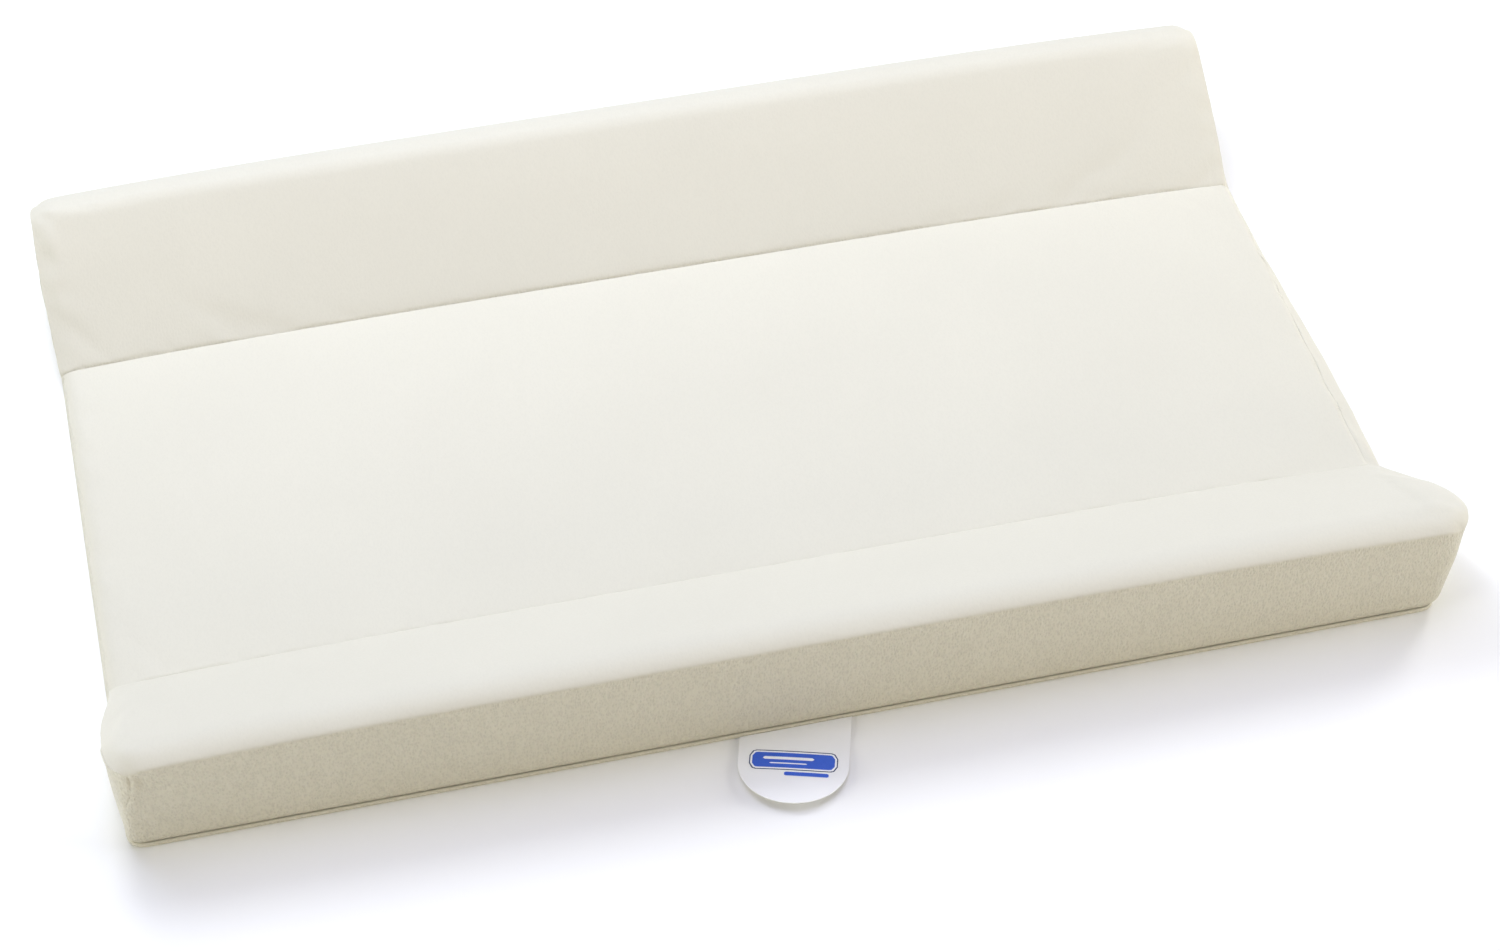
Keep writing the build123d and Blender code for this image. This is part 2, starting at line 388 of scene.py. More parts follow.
def section():
    """The cover's section from the foot of the front face to the foot of the rear face."""
    middle_y = FACE_Y - CREST_R * math.cos(CREST_EDGE)
    run = middle_y - VALLEY_Y
    rise = CREST_TOP - CREST_R - MAT_TOP
    slope = math.atan2(rise, run) + math.asin(CREST_R / math.hypot(run, rise))
    face_top = CREST_TOP - CREST_R * (1 - math.sin(CREST_EDGE))
    face_z = np.append(np.linspace(FOOT, face_top - 1.6 * MM, FACE_ROWS), face_top)
    face_z = snap(face_z, ZIP_Z - ZIP_HALF_OPENING, ZIP_Z + ZIP_HALF_OPENING)
    face = np.stack([np.full(FACE_ROWS + 1, FACE_Y), face_z], 1)
    top = math.pi / 2
    low_half = np.linspace(CREST_EDGE + 0.07, top - 0.12, ARC_ROWS // 2 - 1)
    turn = np.concatenate([low_half, [top], np.linspace(top + 0.12, top + slope, ARC_ROWS // 2)])
    middle = np.array([middle_y, CREST_TOP - CREST_R])
    arc = middle + CREST_R * np.stack([np.cos(turn), np.sin(turn)], 1)
    valley = np.array([VALLEY_Y, MAT_TOP])
    length = np.linalg.norm(valley - arc[-1])
    near = length - np.array(SEAM_STEPS[::-1])
    along = np.concatenate([np.linspace(0, near[0], SLOPE_ROWS - 1)[1:-1], near, [length]])
    incline = arc[-1] + along[:, None] / length * (valley - arc[-1])
    rear_half = np.concatenate([face, arc, incline])
    front_half = rear_half * (-1, 1)
    edge = VALLEY_Y - np.array(SEAM_STEPS[::-1])
    mat_y = np.concatenate([-edge[::-1], np.linspace(-edge[0], edge[0], MAT_ROWS - 3)[1:-1], edge])
    mat = np.stack([mat_y, np.full(len(mat_y), MAT_TOP)], 1)
    return np.concatenate([front_half, mat, rear_half[::-1]])


SECTION = section()
ROWS = len(SECTION)
FRONT_TOP = FACE_ROWS  # last row of the front face, where its crest begins
FRONT_VALLEY = int(np.abs(SECTION - (-VALLEY_Y, MAT_TOP)).sum(1).argmin())
REAR_VALLEY = ROWS - 1 - FRONT_VALLEY
REAR_TOP = ROWS - 1 - FRONT_TOP
REAR_CREST = REAR_TOP - ARC_ROWS // 2  # row along the top of the rear crest
TOP_Y = SECTION[FRONT_TOP : REAR_TOP + 1, 0]
TOP_Z = SECTION[FRONT_TOP : REAR_TOP + 1, 1]


def end_swell(x, y):
    """How far the top edges of the ends stand out past their foot.

    The bolsters swell out at their ends, the front one most at the right, and the mat's end seams
    draw in.
    """
    slope = np.clip((np.abs(y) - VALLEY_Y) / (FACE_Y - VALLEY_Y), 0, 1)
    rise = smoothstep(1.8 * slope)
    front_right = 2.5 + 8.5 * slope + 14 * np.sin(math.pi * slope**1.36)
    rear_right = 7.5 * slope**0.45 - 5.7
    front_left = 6.6 * rise - 1.8 - 6 * np.clip(4 * slope - 3, 0, 1) ** 2
    left = np.where(y < 0, front_left, 2.2 * rise + 1.3)
    bolster = np.where(x < 0, left, np.where(y < 0, front_right, rear_right))
    mat = np.where(x < 0, -2.0, -4.0)
    beside_mat = smoothstep((np.abs(y) - VALLEY_Y) / (8 * MM) + 0.5)
    return (mat + (bolster - mat) * beside_mat) * MM


def shaped(points):
    """How the pad gives: its ends drop, swell and belly out, and its mat crowns."""
    x, y, z = points.T
    u = np.abs(x) / FACE_X
    crest = smoothstep((np.abs(y) - 0.8 * VALLEY_Y) / (FACE_Y - CREST_LINE - 0.8 * VALLEY_Y))
    height = np.clip((z - FOOT) / (np.interp(y, TOP_Y, TOP_Z) - FOOT), 0, 1)
    upper = smoothstep((z - FOOT) / MAT_TOP)
    reach = (9 + 10 * crest) * MM
    deep = np.where(x < 0, 1.5, 5) * crest**4 + 2.5
    roll = np.clip((np.abs(x) - FACE_X + reach) / reach, 0, 1) ** 2 * deep * MM
    drop = END_DROP * u**4 + roll
    crown = CROWN * np.clip(1 - (y / VALLEY_Y) ** 2, 0, 1) * (1 - u**8)
    right_belly = 0.5 + 7 * smoothstep((120 * MM - y) / (200 * MM))
    belly = np.where(x < 0, 0.2, right_belly) * (1 - 0.8 * crest) * MM * np.sin(math.pi * height)
    belly *= smoothstep((FACE_Y - np.abs(y)) / (12 * MM))
    x_out = x + np.sign(x) * u**2 * (end_swell(x, y) * height**1.2 + belly)
    return np.stack([x_out, y, z - upper * (drop - crown)], 1)


def shell_grid():
    """Points of the closed cover before it is stuffed, its faces by panel, and its foot ring."""
    x = snap(places_along(FACE_X, COLUMNS, 0.86), -ZIP_END, ZIP_END)
    columns = len(x)
    top = np.zeros((columns, ROWS, 3))
    top[..., 0] = x[:, None]
    top[..., 1:] = SECTION[None]
    points = [top.reshape(-1, 3)]
    count = columns * ROWS
    quads = grid_faces(columns, ROWS)[:, ::-1]
    row = quads.min(1) % ROWS
    column = quads.min(1) // ROWS
    slot = (
        (np.abs((x[column] + x[column + 1]) / 2) < ZIP_END)
        & (row >= REAR_TOP)
        & (np.abs((SECTION[row, 1] + SECTION[row + 1, 1]) / 2 - ZIP_Z) < ZIP_HALF_OPENING)
    )
    panels = {
        "front": quads[row < FRONT_VALLEY],
        "mat": quads[(row >= FRONT_VALLEY) & (row < REAR_VALLEY)],
        "rear": quads[(row >= REAR_VALLEY) & ~slot],
    }
    down = (SECTION[FRONT_TOP::-1, 1] - FOOT) / (SECTION[FRONT_TOP, 1] - FOOT)
    feet = {}
    for side, name, end in ((-1, "left", 0), (1, "right", columns - 1)):
        index = np.zeros((REAR_TOP - FRONT_TOP + 1, FRONT_TOP + 1), dtype=int)
        index[:, 0] = end * ROWS + np.arange(FRONT_TOP, REAR_TOP + 1)
        index[0] = end * ROWS + np.arange(FRONT_TOP, -1, -1)
        index[-1] = end * ROWS + np.arange(REAR_TOP, ROWS)
        inner = SECTION[FRONT_TOP + 1 : REAR_TOP]
        block = np.zeros((len(inner), FRONT_TOP, 3))
        block[..., 0] = side * FACE_X
        block[..., 1] = inner[:, :1]
        block[..., 2] = FOOT + (inner[:, 1:] - FOOT) * down[None, 1:]
        index[1:-1, 1:] = count + np.arange(block.size // 3).reshape(block.shape[:2])
        points.append(block.reshape(-1, 3))
        count += block.size // 3
        faces = index.ravel()[grid_faces(*index.shape)]
        panels[name] = faces if side > 0 else faces[:, ::-1]
        feet[name] = index[:, -1]
    front_foot = np.arange(columns) * ROWS
    rear_foot = front_foot + ROWS - 1
    rear_back = rear_foot[::-1][1:]
    left_back = feet["left"][::-1][1:-1]
    ring = np.concatenate([front_foot, feet["right"][1:], rear_back, left_back])
    return np.concatenate(points), panels, ring


def narrowed(x):
    """The right end stands in a little from the base's outline."""
    return x - 4 * MM * (np.maximum(x, 0) / FACE_X) ** 8


def slid_corner(points):
    """Slide the fabric round the front left corner below the crest, as far as the tuck there."""
    x, y, z = points.T
    on_end = x < -FACE_X + 0.01 * MM
    run = x + FACE_X - np.where(on_end, y + FACE_Y, 0)
    high = smoothstep((z - 36 * MM) / (24 * MM)) * smoothstep((26 * MM - y - FACE_Y) / (14 * MM))
    run_to = run + 7 * MM * np.exp(-((run / (11 * MM)) ** 2)) * high
    x_to = np.where(on_end, np.maximum(run_to, 0), run_to) - FACE_X
    y_to = np.where(on_end & (high > 0), -np.minimum(run_to, 0) - FACE_Y, y)
    return np.stack([x_to, y_to, z], 1)


def rounded_corners(points):
    """Round the upright corners, seen from above: most at the foot and the crest."""
    z = points[:, 2]
    at_foot, at_crest = smoothstep(1 - z / (10 * MM)), smoothstep(z / (24 * MM) - 2)
    radius = 4.5 * MM + 4.5 * MM * at_foot + 8 * MM * at_crest
    over_x = np.abs(points[:, 0]) - (FACE_X - radius)
    over_y = np.abs(points[:, 1]) - (FACE_Y - radius)
    inside = (over_x > 0) & (over_y > 0)
    far = np.maximum(over_x, over_y)
    scale = np.where(inside, far / np.maximum(np.hypot(over_x, over_y), 1e-9), 1)
    out = points.copy()
    for axis, over, face in ((0, over_x, FACE_X), (1, over_y, FACE_Y)):
        turned = np.sign(points[:, axis]) * (face - radius + over * scale)
        out[:, axis] = np.where(inside, turned, points[:, axis])
    out[:, 0] = narrowed(out[:, 0])
    return out


def stuffed(points, panels, ring):
    """Blow the cover up a little by cloth simulation, its seams held, as the foam fills it."""
    faces = [tuple(f) for name in panels for f in panels[name]] + [tuple(ring[::-1])]
    row = np.arange(len(points)) % ROWS
    on_top = np.arange(len(points)) < (COLUMNS + 1) * ROWS
    held = on_top & ((row == FRONT_VALLEY) | (row == REAR_VALLEY))
    held[:ROWS] = True
    held[COLUMNS * ROWS : (COLUMNS + 1) * ROWS] = True
    held[ring] = True
    near_zip = on_top & (row > REAR_TOP) & (np.abs(points[:, 2] - ZIP_Z) < 3 * ZIP_HALF_OPENING)
    held[near_zip] = True
    shell = piece("shell", points, faces)
    normals = np.empty(len(points) * 3)
    shell.data.vertices.foreach_get("normal", normals)
    normals = normals.reshape(-1, 3)
    group = shell.vertex_groups.new(name="held")
    group.add([int(i) for i in np.flatnonzero(held)], 1.0, "REPLACE")
    cloth = modifier(shell, "CLOTH")
    cloth.settings.quality = 5
    cloth.settings.tension_stiffness = 12
    cloth.settings.compression_stiffness = 12
    cloth.settings.bending_stiffness = 0.6
    cloth.settings.vertex_group_mass = "held"
    cloth.settings.use_pressure = True
    cloth.settings.uniform_pressure_force = 2.5
    cloth.settings.shrink_min = -0.012
    cloth.settings.effector_weights.gravity = 0
    cloth.collision_settings.use_collision = False
    cloth.point_cache.frame_end = SIM_FRAMES
    for step in range(1, SIM_FRAMES + 1):
        bpy.context.scene.frame_set(step)
    settle(shell)
    moved = vertex_array(shell.data).copy()
    bpy.data.objects.remove(shell)
    bpy.context.scene.frame_set(1)
    return limited(points, moved, normals, caps(points))


def limited(start, moved, normals, cap):
    """Keep each point's move within about cap, without a hard stop, and none of it inwards."""
    step = moved - start
    inward = np.minimum((step * normals).sum(1, keepdims=True), 0)
    step = step - inward * normals
    length = np.linalg.norm(step, axis=1, keepdims=True)
    cap = np.asarray(cap)[:, None]
    return start + step * cap * np.tanh(length / cap) / np.maximum(length, 1e-9)


def caps(points):
    """How far the stuffing may push each point out."""
    y, z = np.abs(points[:, 1]), points[:, 2]
    down_slope = smoothstep((FACE_Y - CREST_LINE - y) / (40 * MM))
    cap = FACE_SWELL + (SLOPE_SWELL - FACE_SWELL) * down_slope
    cap[(y < VALLEY_Y) & (z > MAT_TOP - 6 * MM)] = MAT_SWELL
    cap[y > FACE_Y - 1 * MM] = FACE_SWELL
    cap[np.abs(points[:, 0]) > FACE_X - 10 * MM] = END_SWELL
    return cap


def foot_tuck(points):
    """Turn the lower edge of the upright faces in over the welt."""
    near = smoothstep(1 - (points[:, 2] - FOOT) / (2.2 * MM))
    tuck = 0.8 * MM * near
    out = points.copy()
    front = np.abs(points[:, 1]) > FACE_Y - CORNER_R
    end = np.abs(points[:, 0]) > FACE_X - CORNER_R - 4 * MM
    out[:, 1] -= np.where(front, np.sign(points[:, 1]) * tuck, 0)
    out[:, 0] -= np.where(end, np.sign(points[:, 0]) * tuck, 0)
    return out


def corner_tuck(top):
    """Roll the crest over the front left corner, with a hollow and small puckers under the roll."""
    x, y, z = (top[..., k] for k in range(3))
    run = x - x[:1]
    fold = CREST_TOP - 13 * MM
    front = y < -FACE_Y + 30 * MM
    near = np.exp(-((run / (12 * MM)) ** 2)) * front
    over = np.exp(-((run / (4 * MM)) ** 2)) * smoothstep((-y - 190 * MM) / (30 * MM)) * (z > fold)
    hollow = np.exp(-(((z - fold + 2 * MM) / (3.5 * MM)) ** 2)) * near
    below = np.exp(-(((z - fold + 5 * MM) / (7 * MM)) ** 2)) * near
    x -= 1.0 * MM * over
    z -= 1.5 * MM * over
    y += 2.4 * MM * hollow - 1.2 * MM * np.sin(2 * math.pi * run / (8.5 * MM)) * below


def creased(points):
    """Sink the seams, and ruffle the fabric faintly beside the end seams and on the slopes."""
    out = points.copy()
    count = (COLUMNS + 1) * ROWS
    top = out[:count].reshape(COLUMNS + 1, ROWS, 3)
    ends = out[count:].reshape(2, REAR_TOP - FRONT_TOP - 1, FRONT_TOP, 3)
    share = 1 - np.arange(1, FRONT_TOP + 1) / FRONT_TOP
    sink = np.zeros(ROWS)
    sink[FRONT_VALLEY : REAR_VALLEY + 1] = END_SEAM_SINK
    top[:, REAR_VALLEY, 2] -= REAR_SEAM_SINK
    top[:, REAR_CREST, 2] -= REAR_CREST_SINK
    top[[0, -1], :, 2] -= sink
    sink[REAR_VALLEY] += REAR_SEAM_SINK
    ends[..., 2] -= sink[FRONT_TOP + 1 : REAR_TOP, None] * share
    corner_tuck(top)
    x, y = top[..., 0], top[..., 1]
    face = (slice(None), slice(FRONT_TOP + 2, REAR_TOP - 1))
    seam = np.minimum(np.abs(np.abs(y) - VALLEY_Y) / (12 * MM), 1)
    to_end = FACE_X - np.abs(x)
    fade = np.exp(-np.clip(to_end - 8 * MM, 0, 1) / (9 * MM))
    pucker = waves(3, 5, 0.05, 0.016)(y + 0.4 * x) * fade
    one_way = waves(11, 6, 0.32, 0.12)(x + 0.8 * y)
    other_way = waves(12, 4, 0.5, 0.16)(x - 0.9 * y)
    drift = np.tanh(one_way * other_way)
    ruffle = 0.35 * MM * pucker * smoothstep(to_end / (10 * MM)) + 0.28 * MM * drift
    top[..., 2][face] += (ruffle * seam * smoothstep(to_end / (6 * MM)))[face]
    on_mat = smoothstep((VALLEY_Y - np.abs(y[0])) / (20 * MM))
    uneven = 0.5 * MM * waves(21, 6, 0.07, 0.02)(y[0]) * on_mat
    for end, side in ((0, -1), (-1, 1)):
        top[end, :, 0] += side * uneven
        ends[end, ..., 0] += side * uneven[FRONT_TOP + 1 : REAR_TOP, None] * share
    return out


def panel_piece(name, points, faces, material):
    """One cover panel, as a closed sheet of fabric."""
    used, local = np.unique(faces, return_inverse=True)
    obj = piece(name, points[used], local.reshape(faces.shape), material)
    modifier(obj, "SUBSURF", levels=1, render_levels=1, boundary_smooth="PRESERVE_CORNERS")
    modifier(obj, "SOLIDIFY", thickness=SKIN, offset=-1, use_even_offset=True)
    return settle(obj, sharp_angle=55)


def make_cover():
    start, panels, ring = shell_grid()
    start = shaped(rounded_corners(slid_corner(start)))
    points = stuffed(start, panels, ring)
    points = creased(foot_tuck(points))
    fabric = coated_fabric("cover_fabric")
    for name, faces in panels.items():
        panel_piece(f"cover_{name}", points, faces, fabric)
        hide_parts(f"cover_{name}_panel")
    return points


# ---------------------------------------------------------------- base and welt


def outline(half_x, half_y, radius, steps=10):
    """A rounded rectangle as points, from the middle of one end round."""
    turn = np.linspace(0, math.pi / 2, steps + 1)
    corner = radius * np.stack([np.cos(turn), np.sin(turn)], 1)
    sides = []
    for sx, sy in ((1, 1), (-1, 1), (-1, -1), (1, -1)):
        arc = corner if sx * sy > 0 else corner[::-1]
        sides.append((arc + (half_x - radius, half_y - radius)) * (sx, sy))
    return np.concatenate(sides)


def resampled(loop, step):
    """The closed loop with points about step apart."""
    closed = np.concatenate([loop, loop[:1]])
    gaps = np.linalg.norm(np.diff(closed, axis=0), axis=1)
    run = np.concatenate([[0], np.cumsum(gaps)])
    count = int(run[-1] / step)
    at = np.linspace(0, run[-1], count, endpoint=False)
    return np.stack([np.interp(at, run, closed[:, k]) for k in (0, 1)], 1)


def loop_normals(loop):
    ahead = np.roll(loop, -1, 0) - np.roll(loop, 1, 0)
    ahead /= np.linalg.norm(ahead, axis=1, keepdims=True)
    return np.stack([ahead[:, 1], -ahead[:, 0]], 1)


def boxy(wave):
    """A sine or cosine made squarer, so that a ring of them has fuller corners."""
    return np.sign(wave) * np.abs(wave) ** 0.7


def make_welt():
    """The folded strip that binds the base cloth to the cover all round."""
    half_wide = 1.1 * MM
    step = 4 * MM
    loop = resampled(outline(welt_high.x - half_wide, welt_high.y - half_wide, CORNER_R), step)
    out = loop_normals(loop)
    turn = np.linspace(0, 2 * math.pi, 12, endpoint=False)
    lip_out = half_wide * boxy(np.cos(turn))
    lip_up = (welt_high.z - 0.1 * MM) / 2 * boxy(np.sin(turn))
    ripple = 0.06 * MM * waves(5, 6, 0.09, 0.02)(np.arange(len(loop)) * step)
    points = np.zeros((len(loop), len(turn), 3))
    reach = lip_out[None, :] - np.abs(ripple)[:, None]
    points[..., :2] = loop[:, None] + out[:, None] * reach[..., None]
    points[..., 0] = narrowed(points[..., 0])
    points[..., 2] = welt_high.z / 2 + lip_up
    obj = piece(
        "welt",
        points.reshape(-1, 3),
        grid_faces(len(loop), len(turn), closed_rows=True, closed_columns=True),
        coated_fabric("welt_fabric", tuple(0.98 * c for c in COVER_COLOUR), grain=0.7),
    )
    modifier(obj, "SUBSURF", levels=1, render_levels=1)
    settle(obj)
    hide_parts("base_welt")


def make_base_cloth():
    """The cloth underneath, drawn tight over the board, with faint ripples across it."""
    x = np.linspace(cloth_low.x, cloth_high.x, 81)
    y = np.linspace(cloth_low.y, cloth_high.y, 51)
    gx, gy = (g.ravel() for g in np.meshgrid(x, y, indexing="ij"))
    ripple = np.abs(waves(8, 7, 0.2, 0.04)(gx + 0.6 * gy)) * 0.12 * MM
    points = np.stack([gx, gy, 0.05 * MM + ripple], 1)
    obj = piece(
        "base_cloth",
        rounded_corners(points),
        grid_faces(len(x), len(y))[:, ::-1],
        woven("base_cloth", (0.66, 0.63, 0.53), 0.7 * MM),
    )
    modifier(obj, "SOLIDIFY", thickness=0.6 * MM, offset=-1)
    settle(obj)
    low = vertex_array(obj.data)[:, 2].min()
    obj.data.transform(Matrix.Translation((0, 0, -low)))
    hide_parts("cover_base_panel")


# ---------------------------------------------------------------- foam inside


def sliced(mesh, places):
    """Cut a mesh through at places along each axis, so that it can bend."""
    cut = bmesh.new()
    cut.from_mesh(mesh)
    for axis, values in enumerate(places):
        normal = [float(axis == k) for k in range(3)]
        for value in values:
            whole = cut.verts[:] + cut.edges[:] + cut.faces[:]
            middle = [value * n for n in normal]
            bmesh.ops.bisect_plane(cut, geom=whole, plane_co=middle, plane_no=normal)
    cut.to_mesh(mesh)
    cut.free()


def bent_copy(node, name, material, places, shape):
    """A copy of a CAD part, cut so that it can bend, with its points moved by shape."""
    mesh = bpy.data.objects[node].data.copy()
    sliced(mesh, places)
    mesh.vertices.foreach_set("co", shape(vertex_array(mesh)).ravel())
    mesh.materials.clear()
    mesh.materials.append(material)
    obj = bpy.data.objects.new(name, mesh)
    bpy.context.scene.collection.objects.link(obj)
    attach(obj, PAD)
    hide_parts(node)
    return obj


def foam_shape(points):
    """Where the foam's points lie inside the cover, a little clear of it."""
    given = shaped(rounded_corners(points))
    given[:, 2] -= 1.1 * MM * smoothstep(given[:, 2] / (12 * MM))
    given[:, 2] -= 1.2 * MM * smoothstep((given[:, 2] - 40 * MM) / (20 * MM))
    to_tuck = np.linalg.norm(given - (-FACE_X, -FACE_Y, CREST_TOP - 16 * MM), axis=1, keepdims=True)
    given += np.array([4.5, 4.5, -3.5]) * MM * np.exp(-((to_tuck / (18 * MM)) ** 2))
    return given * (1 - 1.6 * MM / FACE_X, 1 - 1.4 * MM / FACE_Y, 1)


def board_shape(points):
    """The board's corners are round, and its edges lie inside the welt."""
    return rounded_corners(points) * (1 - 3 * MM / FACE_X, 1 - 3 * MM / FACE_Y, 1)


def make_foam():
    """The foam and wadding inside, as cut blocks that give with the cover."""
    foam = open_foam("foam", (0.92, 0.88, 0.70), 1.1 * MM)
    fibre = open_foam("wadding", (0.95, 0.95, 0.93), 2.4 * MM)
    ends = FACE_X - np.arange(3, 18, 3) * MM
    x = np.concatenate([-ends, np.linspace(-0.36, 0.36, 25), ends])
    places = (x, np.linspace(-0.24, 0.24, 25), np.linspace(4.5, 70, 12) * MM)
    jobs = (
        ("foam_slab", "slab_foam", foam, "foam", 0.95),
        ("front_bolster_foam", "front_wedge_foam", foam, "foam", 0.95),
        ("rear_bolster_foam", "rear_wedge_foam", foam, "foam", 0.95),
        ("mat_wadding", "wadding_sheet", fibre, "wadding", 0.5),
    )
    for node, name, material, slot, fill in jobs:
        obj = bent_copy(node, name, material, places, foam_shape)
        modifier(obj, "BEVEL", width=0.6 * MM, segments=2, limit_method="ANGLE", angle_limit=0.9)
        settle(obj, sharp_angle=50)
    near_edge = np.arange(2, 12) * MM
    halves = (FACE_X, FACE_Y)
    along, deep = (np.concatenate([near_edge - half, half - near_edge]) for half in halves)
    brown = hardboard("hardboard")
    board = bent_copy("base_board", "board", brown, (along, deep, []), board_shape)
    modifier(board, "BEVEL", width=0.5 * MM, segments=2, limit_method="ANGLE", angle_limit=0.9)
    settle(board, sharp_angle=50)


# ---------------------------------------------------------------- zip


def tube(path, radius, sides, up):
    """Points and faces of a round tube along an open path."""
    ahead = np.gradient(path, axis=0)
    ahead /= np.linalg.norm(ahead, axis=1, keepdims=True)
    across = np.cross(ahead, up)
    across /= np.linalg.norm(across, axis=1, keepdims=True)
    other = np.cross(ahead, across)
    turn = np.linspace(0, 2 * math.pi, sides, endpoint=False)
    cosine, sine = np.cos(turn)[None, :, None], np.sin(turn)[None, :, None]
    ring = cosine * across[:, None] + sine * other[:, None]
    points = path[:, None] + radius * ring
    faces = [tuple(f) for f in grid_faces(len(path), sides, closed_columns=True)]
    last = (len(path) - 1) * sides
    faces.append(tuple(range(sides))[::-1])
    faces.append(tuple(range(last, last + sides)))
    return points.reshape(-1, 3), faces


def make_zip():
    tape_cloth = woven("zip_tape", (0.68, 0.65, 0.55), 0.5 * MM)
    enamel = enamelled("zip_enamel", (0.72, 0.69, 0.59))
    coil = nylon("zip_coil", (0.73, 0.70, 0.60))
    for node in ("zip_tape_upper", "zip_tape_lower"):
        bpy.data.objects[node].data.materials[0] = tape_cloth
    for node in ("zip_stops", "zip_slider", "zip_pull"):
        bpy.data.objects[node].data.materials[0] = enamel
    pitch = 1.5 * MM
    wire = 0.26 * MM
    steps = 10
    for node, side, low, high in (
        ("zip_chain_upper", 1, upper_low, upper_high),
        ("zip_chain_lower", -1, lower_low, lower_high),
    ):
        turns = int((high.x - low.x) / pitch)
        turn = np.linspace(0, 2 * math.pi * turns, turns * steps)
        half_deep = (high.y - low.y) / 2 - wire - 0.05 * MM
        half_wide = (high.z - low.z) / 2 - wire + 0.25 * MM
        phase = 0 if side > 0 else math.pi
        path = np.stack(
            [
                low.x + wire + (high.x - low.x - 2 * wire) * turn / turn[-1],
                (low.y + high.y) / 2 + half_deep * np.cos(turn + phase),
                (low.z + high.z) / 2 - side * 0.1 * MM + half_wide * np.sin(turn + phase),
            ],
            1,
        )
        points, faces = tube(path, wire, 5, np.array([1.0, 0, 0]))
        obj = piece(node.replace("chain", "coil"), points, faces, coil)
        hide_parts(node)


# ---------------------------------------------------------------- stitching


def stitches(name, starts, ends, ups, radius, material, node=None):
    """A row of sewing stitches, each bowed over from its start to its end, as one piece."""
    starts, ends, ups = (np.asarray(a, float) for a in (starts, ends, ups))
    along = ends - starts
    across = np.cross(along, ups)
    across /= np.linalg.norm(across, axis=1, keepdims=True)
    sides = 6
    turn = np.linspace(0, 2 * math.pi, sides, endpoint=False)
    # Each ring's share of the way along, its size and its lift, in radii
    rings = (
        (0.0, 0.35, -0.9),
        (0.12, 0.85, 0.1),
        (0.5, 1.0, 0.35),
        (0.88, 0.85, 0.1),
        (1.0, 0.35, -0.9),
    )
    cosine, sine = np.cos(turn)[None, :, None], np.sin(turn)[None, :, None]
    points = []
    for share, size, lift in rings:
        middle = starts + share * along + lift * radius * ups
        ring = cosine * across[:, None] + sine * ups[:, None]
        points.append(middle[:, None] + radius * size * ring)
    points = np.stack(points, 1)
    count, per = len(starts), len(rings) * sides
    body = grid_faces(len(rings), sides, closed_columns=True)
    faces = [tuple(f + k * per) for k in range(count) for f in body]
    for k in range(count):
        faces.append(tuple(k * per + np.arange(sides)[::-1]))
        faces.append(tuple(k * per + per - sides + np.arange(sides)))
    obj = piece(name, points.reshape(-1, 3), faces, material)
    if node:
        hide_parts(node)


def stitch_run(first, last, step, gap):
    """Starts and ends of stitches along x."""
    count = int((last - first) / step)
    start = first + step * np.arange(count)
    return start, start + step - gap


def make_stitching(points):
    thread = twisted_thread("thread", (0.70, 0.67, 0.57))
    top = points[: (COLUMNS + 1) * ROWS].reshape(COLUMNS + 1, ROWS, 3)
    for row, name, node, lift in (
        (FRONT_VALLEY, "front_valley_stitches", "front_valley_thread", -0.25 * MM),
        (REAR_VALLEY, "rear_valley_stitches", "rear_valley_thread", 0.1 * MM),
    ):
        line = top[:, row]
        start, end = stitch_run(line[0, 0] + 4 * MM, line[-1, 0] - 4 * MM, 4.2 * MM, 0.8 * MM)
        ends = []
        for x in (start, end):
            ends.append(np.stack([np.interp(x, line[:, 0], line[:, k]) for k in range(3)], 1))
        up = np.tile([0.0, 0.0, 1.0], (len(start), 1))
        for e in ends:
            e[:, 2] += lift
        stitches(name, *ends, up, 0.22 * MM, thread, node)
    start, end = stitch_run(-ZIP_END + 1 * MM, ZIP_END - 1 * MM, 3.4 * MM, 0.7 * MM)
    rows = []
    for z in (ZIP_Z - ZIP_HALF_OPENING - 2 * MM, ZIP_Z + ZIP_HALF_OPENING + 2 * MM):
        y = np.full(len(start), FACE_Y + 0.05 * MM)
        rows.append((np.stack([start, y, 0 * y + z], 1), np.stack([end, y, 0 * y + z], 1)))
    starts, ends = (np.concatenate(part) for part in zip(*rows))
    up = np.tile([0.0, 1.0, 0.0], (len(starts), 1))
    stitches("zip_topstitch", starts, ends, up, 0.2 * MM, thread)


# ---------------------------------------------------------------- hang tag

TAG_SLANT = math.radians(17)
TAG_WIDTH = 65 * MM
TAG_REACH = 61 * MM
TAG_THICK = 0.4 * MM
TAG_ROOT = np.array([-6.5 * MM, tag_high.y, 1.3 * MM])
TAG_LIFT = math.radians(3.5)


def tag_surface(u, v):
    """Where a point of the card lies: u across it and v along it from the seam."""
    x = u * math.cos(TAG_SLANT) - v * math.sin(TAG_SLANT)
    forward = v * math.cos(TAG_SLANT) + u * math.sin(TAG_SLANT)
    crease = smoothstep((forward - 8 * MM - 0.35 * (x - TAG_WIDTH / 2)) / (14 * MM))
    rise = math.tan(TAG_LIFT) * forward
    dip = -1.6 * MM * crease * smoothstep((TAG_WIDTH / 2 + x) / TAG_WIDTH)
    curl = 1.4 * MM * (v / TAG_REACH) ** 2 - 0.5 * MM * (2 * u / TAG_WIDTH) ** 2
    z = np.maximum(rise + 0.8 * dip + curl * smoothstep(forward / (20 * MM)), -0.9 * MM)
    return np.stack([TAG_ROOT[0] + x, TAG_ROOT[1] - forward, TAG_ROOT[2] + z], -1)


